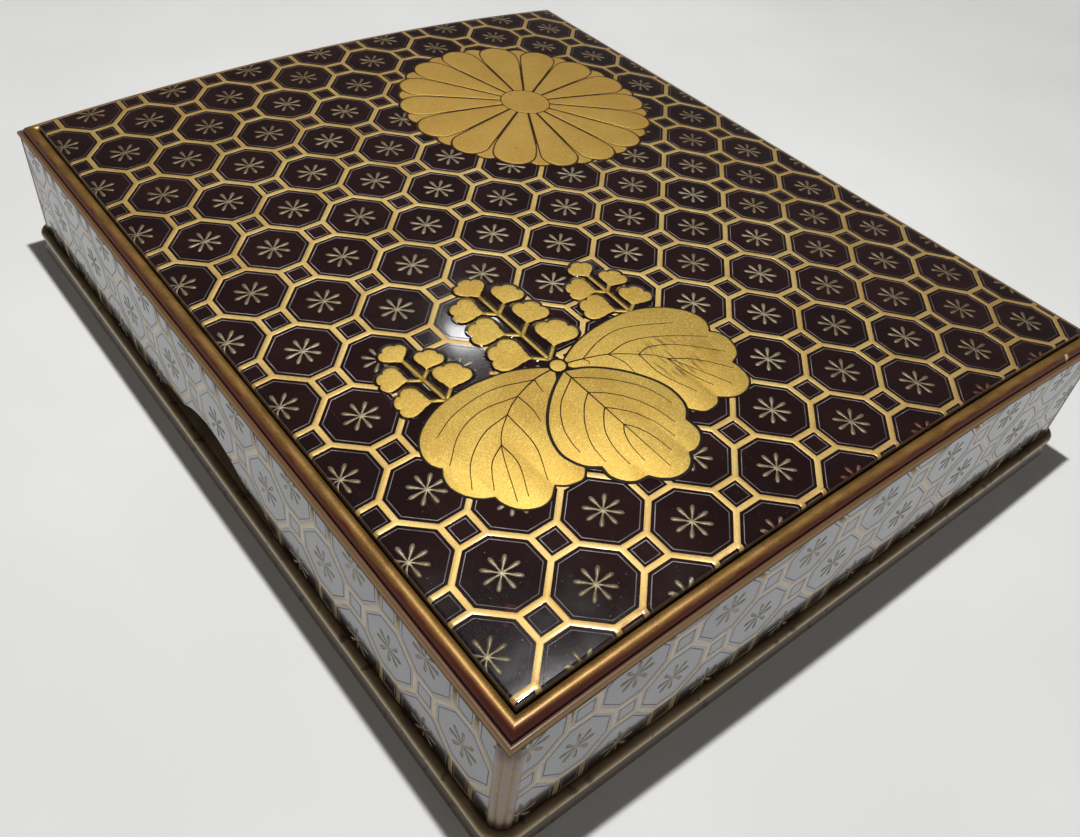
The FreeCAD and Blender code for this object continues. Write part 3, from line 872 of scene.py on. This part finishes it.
def petal(angle, sector_half, root, grow, lift, crown, narrow=1.0, tip=PETAL_TIP):
    """Half width over the reach from the centre: that of its sector less a line, then a half ellipse at the tip.

    It is laid out as stations along the petal by places across it, and crowned by one less the place squared.
    """
    straight = np.append(root, np.linspace(root + 0.8, PETAL_SHOULDER, 10))
    turn = np.radians(np.linspace(0, 90, 10))[1:]
    sector = straight * math.tan(sector_half) - DARK_LINE / 2 + grow
    end = PETAL_HALF_WIDTH * narrow * (0.5 + sector_half * len(PETAL_LINES) / (2 * math.pi)) + grow
    half_width = np.concatenate([np.minimum(sector * narrow, end), end * np.cos(turn)])
    reach = np.concatenate([straight, PETAL_SHOULDER + (tip - PETAL_SHOULDER + grow) * np.sin(turn)])
    across = np.array([-1, -0.92, -0.5, 0, 0.5, 0.92, 1])
    raised = lift + crown * (1 - across ** 2) - np.where(np.abs(across) == 1, 0.05, 0)
    ahead = np.array([math.cos(angle), math.sin(angle)])
    aside = np.array([-math.sin(angle), math.cos(angle)])
    plan = reach[:, None, None] * ahead + (half_width[:, None] * across)[..., None] * aside
    points = np.concatenate([plan, np.broadcast_to(raised[None, :, None], plan.shape[:2] + (1,))], -1)
    return points.reshape(-1, 3), grid_faces(len(reach), len(across))[:, ::-1].tolist()


def round_shape(reaches, steps, turns):
    """A shape about its own middle: the reach at each turn times the step of each ring, with each ring's lift."""
    rings_out = np.array(steps)
    plan = rings_out[:, None, :1] * reaches[None, :, None] * np.stack([np.cos(turns), np.sin(turns)], 1)[None]
    lift = np.broadcast_to(rings_out[:, None, 1:], plan.shape[:2] + (1,))
    points = np.concatenate([plan, lift], -1).reshape(-1, 3)
    return points, loop_faces(len(steps), len(turns)) + [list(range(len(turns)))]


def disc(reach, steps, count=32):
    """A round shape with one reach all round."""
    return round_shape(np.full(count, reach), steps, np.radians(np.linspace(0, 360, count + 1))[:-1])


def moved(shape, spot):
    """A shape of points and faces moved to a flat place."""
    points, faces = shape
    return points + np.array([*spot, 0.0]), faces


CREST_DEPTH = 0.1


def crest(name, sheet, spot, finish, folds=()):
    """A part of a crest, moved to the crest's place and laid on the top."""
    laid(name, moved(sheet, spot), on_top, folds, (), (), finish, CREST_DEPTH)


SCRATCHED_LEAF = (-0.0194, -0.1086)


def crest_gold(coat):
    """Thick gold powder: fine sparkle, soft grain, clouded tarnish, a few pits, and scratches on the right leaf."""
    sparkle = coat.grain(0.45, 2.0)
    grit = coat.grain(0.9, 2.0)
    clouds = coat.grain(24, 3.0)
    tint = coat.blend(clouds.band(0.3, 0.7), colour(196, 160, 72), colour(210, 178, 88))
    tint = tint.over(grit.band(0.60, 0.40) * 0.35, 158, 122, 48)
    tint = tint.over(sparkle.band(0.56, 0.70) * 0.6, 248, 226, 150)
    tint = tint.over(coat.along("Y").band(0.0, 0.05) * 0.35, 214, 164, 86)
    x, y = coat.along("X") - SCRATCHED_LEAF[0], coat.along("Y") - SCRATCHED_LEAF[1]
    scratched = (x * x + y * y).band(0.00022, 0.00006)
    streaks = coat.grain(1.1, 3.0, coat.place((1, 0.12, 1), (0, 0, 0.45))).band(0.55, 0.64)
    tint = tint.over(scratched * streaks * 0.6, 64, 50, 26)
    pits = coat.grain(3.4, 4.0).band(0.72, 0.76) * 0.5
    tint = tint.over(pits, 112, 84, 46)
    return {"Base Color": tint, "Roughness": 0.46 + grit * 0.2, "Metallic": 0.75 - pits * 0.3,
            "Normal": coat.bump(sparkle + grit * 0.7, 0.018)}


def dark_line(coat):
    """Dull dark lacquer left between the raised parts of a crest."""
    clouds = coat.grain(9, 3.0)
    tint = coat.blend(clouds.band(0.35, 0.65), colour(38, 24, 12), colour(60, 41, 20))
    return {"Base Color": tint, "Roughness": 0.55 + clouds * 0.2}


def black_line(coat):
    """Dull black lacquer round the leaves."""
    sockets = dark_line(coat)
    sockets["Base Color"] = coat.blend(0.8, sockets["Base Color"], colour(14, 8, 8))
    return sockets


crest_finish = new_finish("crest_gold", crest_gold)
line_dark_finish = new_finish("crest_dark_line", dark_line, Specular_IOR_Level=0.15)
line_black_finish = new_finish("crest_black_line", black_line, Specular_IOR_Level=0.2)

petal_lines = np.radians(PETAL_LINES)
next_lines = np.append(petal_lines[1:], petal_lines[0] + 2 * math.pi)
fronts = list(zip((petal_lines + next_lines) / 2, (next_lines - petal_lines) / 2))
backs = [(line, math.pi / len(PETAL_LINES)) for line in petal_lines]
for kind, places, measures, finish in (
    ("shadow", backs, (BACK_ROOT, DARK_LINE, 0.12, 0, BACK_NARROW, BACK_TIP), line_dark_finish),
    ("back_petals", backs, (BACK_ROOT, 0, 0.16, 0.02, BACK_NARROW, BACK_TIP), crest_finish),
    ("lines", fronts, (PETAL_ROOT, DARK_LINE, 0.185, 0), line_dark_finish),
    ("petals", fronts, (PETAL_ROOT, 0, 0.215, 0.06), crest_finish),
):
    crest("chrysanthemum_" + kind, joined(*(petal(*place, *measures) for place in places)), FLOWER_PLACE, finish)
crest("chrysanthemum_disc_line", disc(DISC_RADIUS + 0.5, [(0.5, 0.283), (0.98, 0.283), (1.0, 0.28)], 64),
      FLOWER_PLACE, line_dark_finish)
crest("chrysanthemum_disc", disc(DISC_RADIUS, [(0.5, 0.298), (0.975, 0.297), (1.0, 0.288)], 64), FLOWER_PLACE,
      crest_finish)


# Paulownia crest: three veined leaves with scalloped ends, the middle one over the others, below three stalks of
# small flowers. The gold is thicker than on the pattern, edged with a dark line, and its veins are drawn dark.
# Black lacquer covers the pattern round the stalks.
PAULOWNIA_PLACE = (-60.4, -87.8)
# Each leaf: its outline, and which of its points are notches
MIDDLE_LEAF = [
    (0, -3.8), (-6.2, -7.3), (-13.2, -12.5), (-20.2, -19.5), (-25, -26.9), (-27.4, -35.3), (-26.3, -41.4),
    (-23.7, -45.8), (-19.8, -48.8), (-20.2, -53.6), (-18, -58), (-14.5, -60.6), (-9.3, -61.2), (-7.1, -64.1),
    (-3.6, -66.6), (0.3, -67.5), (4.7, -66.8), (7.8, -64.6), (10, -61.5), (13.9, -61.5), (18.3, -58.9), (20.7, -54.9),
    (20.7, -48.8), (23.9, -45.8), (26.2, -41.4), (27, -34.4), (25.3, -27.4), (20.9, -19.5), (15, -12.5), (8.3, -7.3),
]
MIDDLE_NOTCHES = (0, 8, 12, 18, 22)
LEFT_LEAF = [
    (-1.8, -0.3), (-8, 3.7), (-13.2, 6.3), (-20.2, 8.5), (-29, 9.6), (-36, 9.8), (-43, 9.1), (-50.8, 7.2),
    (-57.8, 3.7), (-63.1, -0.7), (-66.1, -5.5), (-67.3, -9.9), (-67, -13.8), (-64.8, -17.3), (-66.6, -20.4),
    (-67.5, -24.8), (-66.6, -29.1), (-64.4, -33.1), (-61.3, -36.1), (-57.8, -37.9), (-57.4, -41.4), (-55.2, -45.8),
    (-51.7, -48.8), (-47.3, -50.3), (-43, -49.4), (-38.3, -45.6), (-35.5, -47.9), (-31.6, -49.1), (-27.6, -48.6),
    (-22, -42), (-14, -20),
]
LEFT_NOTCHES = (0, 13, 19, 25, 29)
RIGHT_LEAF = [
    (1.7, -0.3), (8.7, 3.7), (14.8, 6.3), (22.7, 8.5), (30.5, 9.6), (38.4, 10), (45.4, 9.4), (53.3, 7.2), (60.3, 3.2),
    (65.5, -2), (68, -7.3), (68.3, -11.6), (66.8, -15.1), (64.7, -17.6), (67.3, -20.4), (68.2, -24.8), (66.8, -30),
    (63.8, -33.9), (59, -36), (59, -40.5), (57.7, -45.8), (54.2, -49.3), (49.3, -50.8), (44.5, -50.1), (39.5, -46.8),
    (37.1, -49.3), (33.2, -50.1), (29.2, -49.3), (24, -43), (14, -20),
]
RIGHT_NOTCHES = (0, 13, 18, 24, 28)
# Each vein runs from its root to its tip, the main one first
MIDDLE_VEINS = [
    [(0, -4.2), (0, -30), (0, -62.4)], [(0, -8.1), (-11.9, -16.5), (-18.8, -26), (-21.3, -34), (-21.9, -39.5)],
    [(0, -8.1), (10.4, -16), (18.3, -25.6), (21.4, -33.5), (22.2, -39.6)],
    [(0, -17.8), (-6.2, -23), (-12.3, -30.9), (-16.3, -39.6), (-17.4, -48)],
    [(0, -17.8), (6.5, -23), (11.7, -30), (15.2, -38.8), (16.4, -47.5)],
    [(0, -27.4), (-3.6, -30.9), (-8, -37), (-10.6, -44.9), (-11.2, -53.6)],
    [(0, -27.4), (3.4, -30.9), (7.3, -36.1), (10.4, -44), (11.3, -52.8)],
    [(0, -37.9), (-2.7, -41.4), (-4.9, -47.5), (-5.8, -55.4)], [(0, -37.9), (2.5, -41.4), (4.7, -47.5), (5.6, -57.1)],
]
LEFT_VEINS = [
    [(-4, -0.3), (-12.3, -1), (-22.8, -4.6), (-31.6, -9.9), (-42.1, -20.4), (-53, -44)],
    [(-12.3, -1), (-29, 3.7), (-46.5, 1.5), (-58.7, -4.6)], [(-12.3, -1), (-13, -4.6), (-13.6, -8.1)],
    [(-22.8, -4.6), (-37.7, -2.9), (-50.8, -7.3), (-62.2, -17.8)], [(-22.8, -4.6), (-22.4, -12.5), (-23.7, -19.5)],
    [(-31.6, -9.9), (-43.8, -12.5), (-55.2, -20.4), (-62.2, -30.9)], [(-31.6, -9.9), (-32.6, -27.4), (-39, -42.7)],
    [(-42.1, -20.4), (-50, -25.6), (-56.5, -35.7)], [(-42.1, -20.4), (-42.5, -30.9), (-48.6, -44.4)],
]
RIGHT_VEINS = [
    [(3.8, -0.7), (10.4, -2.4), (20.5, -5.9), (30.5, -12.5), (38.4, -20.4), (49.8, -44.9)],
    [(10.4, -2.4), (23.5, 2.4), (36.7, 2.8), (55.9, -5.5)], [(10.4, -2.4), (11.3, -4.6), (10.8, -6.4)],
    [(20.5, -5.9), (32.3, -4.6), (45.4, -9), (62, -19.5)], [(20.5, -5.9), (22.7, -12.5), (22.2, -19.5)],
    [(30.5, -12.5), (37.5, -11.6), (48, -16.9), (61.2, -30)], [(30.5, -12.5), (30.1, -25.6), (34.9, -40.5)],
    [(38.4, -20.4), (48, -27.4), (56.8, -38.8)], [(38.4, -20.4), (39.7, -31.8), (42.8, -41.4)],
]
STALKS = [
    [(-0.5, 3), (-0.5, 26), (-0.5, 51)], [(-45.1, 8), (-46, 22), (-46.9, 36.5)], [(45.8, 8), (46.3, 22), (46.7, 38)],
]
# Where a stalk forks, and the ends of its two twigs
FORKS = [
    ((-0.5, 36.9), (-5.5, 41), (4.9, 41)), ((-0.5, 21.6), (-6.2, 25.8), (5.6, 26.3)),
    ((-0.5, 4.5), (-6, 9.4), (5.8, 9.8)), ((-46.5, 22.5), (-51.5, 25.8), (-41.7, 26.2)),
    ((-45.1, 8.9), (-50.5, 12), (-40.2, 13.2)), ((46.3, 24.2), (41.8, 27.6), (50.8, 28)),
    ((45.8, 9.4), (40, 13.6), (50.6, 12.4)),
]
# Each small flower: its middle, half its width, and the place on its stalk that it points to
BLOSSOMS = [
    (-0.5, 57, 7, -0.5, 45), (-10.4, 46.1, 7.5, -1, 37), (10.4, 45.9, 7, 0, 37), (-11.3, 31.5, 8.2, -1, 21),
    (11.3, 31.5, 7.7, 0, 21), (-12.2, 15.5, 9.3, -1, 4), (12.2, 15.9, 8.8, 0, 4), (-47.6, 41, 6, -46.8, 30),
    (-55.8, 29.5, 6.5, -46.8, 22.5), (-38, 31.1, 5.9, -46, 22.5), (-56.1, 15.3, 7.6, -45.5, 8.5),
    (-35.8, 18.8, 7.6, -44.5, 8.5), (47, 42.2, 6, 46.6, 30), (37.7, 31.7, 7.2, 46, 24), (54.9, 30.4, 6.3, 46.5, 24),
    (35.8, 19, 8.1, 45, 9), (55, 16.4, 7.2, 46.3, 9),
]
# The pattern stops short of each stalk: lacquer covers it within these corners
STALK_GROUNDS = [
    [(-0.5, 57), (-10.4, 46.1), (-11.3, 31.5), (-12.2, 15.5), (0, 3), (12.2, 15.9), (11.3, 31.5), (10.4, 45.9)],
    [(-47.6, 41), (-55.8, 29.5), (-56.1, 15.3), (-46, 8), (-35.8, 18.8), (-38, 31.1)],
    [(47, 42.2), (37.7, 31.7), (35.8, 19), (45.8, 8), (55, 16.4), (54.9, 30.4)],
]
# The reach of a small flower at each turn in degrees from its top lobe, as a share of its half width
BLOSSOM_REACH = [(0, 0.84), (15, 0.84), (30, 0.80), (40, 0.70), (50, 0.86), (65, 0.98), (85, 1.01), (100, 0.95),
                 (120, 0.81), (150, 0.74), (170, 0.87), (180, 1.02)]
HUB = 3.4
PEARL = 1.1
PEARL_PLACE = (-23.1, 11.1)
LEAF_LINE = 0.8
MIDDLE_LINE = 1.2


def eased(points, steps=6):
    """A smooth line through points: between two of them a cubic whose slopes are half the neighbours' distance."""
    knots = np.array(points, dtype=float)
    padded = np.vstack([2 * knots[0] - knots[1], knots, 2 * knots[-1] - knots[-2]])
    t = np.linspace(0, 1, steps, endpoint=False)[None, :, None]
    a, b, c, d = (padded[shift:shift + len(knots) - 1, None, :] for shift in range(4))
    cubic = 1.5 * b - 0.5 * a - 1.5 * c + 0.5 * d
    run = b + (c - a) * t / 2 + (a - 2.5 * b + 2 * c - 0.5 * d) * t ** 2 + cubic * t ** 3
    return np.vstack([run.reshape(-1, 2), knots[-1:]])


def leaf_line(points, notches):
    """The closed outline of a leaf: smooth runs from one notch to the next."""
    closed = points + points[:1]
    ends = (*notches, len(points))
    return np.vstack([eased(closed[first:last + 1])[:-1] for first, last in zip(ends, ends[1:])])


def double_area(loop):
    """Twice the area inside an outline, above 0 where it runs counter clockwise."""
    return np.sum(loop[:, 0] * np.roll(loop[:, 1], -1) - loop[:, 1] * np.roll(loop[:, 0], -1))


def plate(loop, lift, grow=0.0, rim=0.35, sink=0.07):
    """An outline filled at a lift, with a rim that falls away: one loop of rim quads and one large face."""
    ahead = np.roll(loop, -1, 0) - np.roll(loop, 1, 0)
    ahead = ahead / np.linalg.norm(ahead, axis=1, keepdims=True)
    away = np.stack([ahead[:, 1], -ahead[:, 0]], 1) * np.sign(double_area(loop))
    outer = np.column_stack([loop + away * grow, np.full(len(loop), lift - sink)])
    inner = np.column_stack([loop + away * (grow - rim), np.full(len(loop), lift)])
    count = len(loop)
    ring = np.arange(count)
    after = np.roll(ring, -1)
    quads = np.stack([ring + count, ring, after, after + count], 1)
    face = (ring + count).tolist()
    if double_area(loop) <= 0:
        quads, face = quads[:, ::-1], face[::-1]
    return np.vstack([outer, inner]), quads.tolist() + [face]


def drawn(line, lift, width_first, width_last):
    """A brush line along a smooth path: its half width goes evenly from one end's to the other's."""
    ahead = np.gradient(line, axis=0)
    ahead = ahead / np.linalg.norm(ahead, axis=1, keepdims=True)
    aside = np.stack([-ahead[:, 1], ahead[:, 0]], 1)
    half_width = np.linspace(width_first, width_last, len(line))[:, None]
    edges = np.stack([line - aside * half_width, line + aside * half_width], 1).reshape(-1, 2)
    points = np.column_stack([edges, np.full(len(edges), lift)])
    return points, grid_faces(len(line), 2)[:, ::-1].tolist()


def blossom(spot, grow=0.0, steps=((0.001, 0.25), (0.45, 0.245), (0.8, 0.22), (0.94, 0.195), (1.0, 0.12))):
    """A small three lobed flower: its reach at each turn comes from BLOSSOM_REACH, times its half width."""
    x, y, half_width, to_x, to_y = spot
    turns = np.radians(np.arange(0, 360, 5))
    stem = math.atan2(to_y - y, to_x - x)
    from_top = 180 - np.abs(np.degrees(turns) - 180)
    reach = np.interp(from_top, *np.array(BLOSSOM_REACH).T) * half_width + grow
    return moved(round_shape(reach, steps, turns + stem + math.pi), (x, y))


def vein_lines(paths, lift):
    """Brush lines that thin out towards their ends, the first path a little wider than the others."""
    return [drawn(eased(path), lift, 0.36 if count == 0 else 0.26, 0.16) for count, path in enumerate(paths)]


def bent(kind, finish, *shapes):
    """Large flat faces are first folded every few millimetres, so that they follow the arch."""
    folds = [(0, spot) for spot in np.arange(-132.0, 12.0, 6.0)]
    crest("paulownia_" + kind, joined(*shapes), PAULOWNIA_PLACE, finish, folds)


middle_line = leaf_line(MIDDLE_LEAF, MIDDLE_NOTCHES)
side_lines = (leaf_line(LEFT_LEAF, LEFT_NOTCHES), leaf_line(RIGHT_LEAF, RIGHT_NOTCHES))
stalk_paths = [eased(path) for path in STALKS] + [np.linspace(fork, tip, 5) for fork, *tips in FORKS for tip in tips]
bent("shadow", line_black_finish, *(plate(line, 0.125, LEAF_LINE) for line in side_lines))
bent("ground", top_finish, *(plate(np.array(corners), 0.10) for corners in STALK_GROUNDS),
     *(drawn(path, 0.11, 2.0, 1.8) for path in stalk_paths),
     *(blossom(spot, 1.2, ((0.001, 0.13), (1.0, 0.13))) for spot in BLOSSOMS))
bent("stalks", crest_finish, *(drawn(path, 0.17, 0.85, 0.75) for path in stalk_paths))
bent("blossoms", crest_finish, *(blossom(spot) for spot in BLOSSOMS),
     moved(disc(PEARL, [(0.001, 0.25), (0.6, 0.23), (1.0, 0.16)], 16), PEARL_PLACE))
bent("side_leaves", crest_finish, *(plate(line, 0.18) for line in side_lines))
bent("middle_shadow", line_black_finish, plate(middle_line, 0.215, MIDDLE_LINE),
     disc(HUB + 0.7, [(0.001, 0.265), (1.0, 0.265)]))
bent("middle_leaf", crest_finish, plate(middle_line, 0.25))
bent("hub", crest_finish, disc(HUB, [(0.001, 0.298), (0.8, 0.292), (1.0, 0.25)]))
bent("veins", line_dark_finish, *vein_lines(MIDDLE_VEINS, 0.275), *vein_lines(LEFT_VEINS, 0.205),
     *vein_lines(RIGHT_VEINS, 0.205))
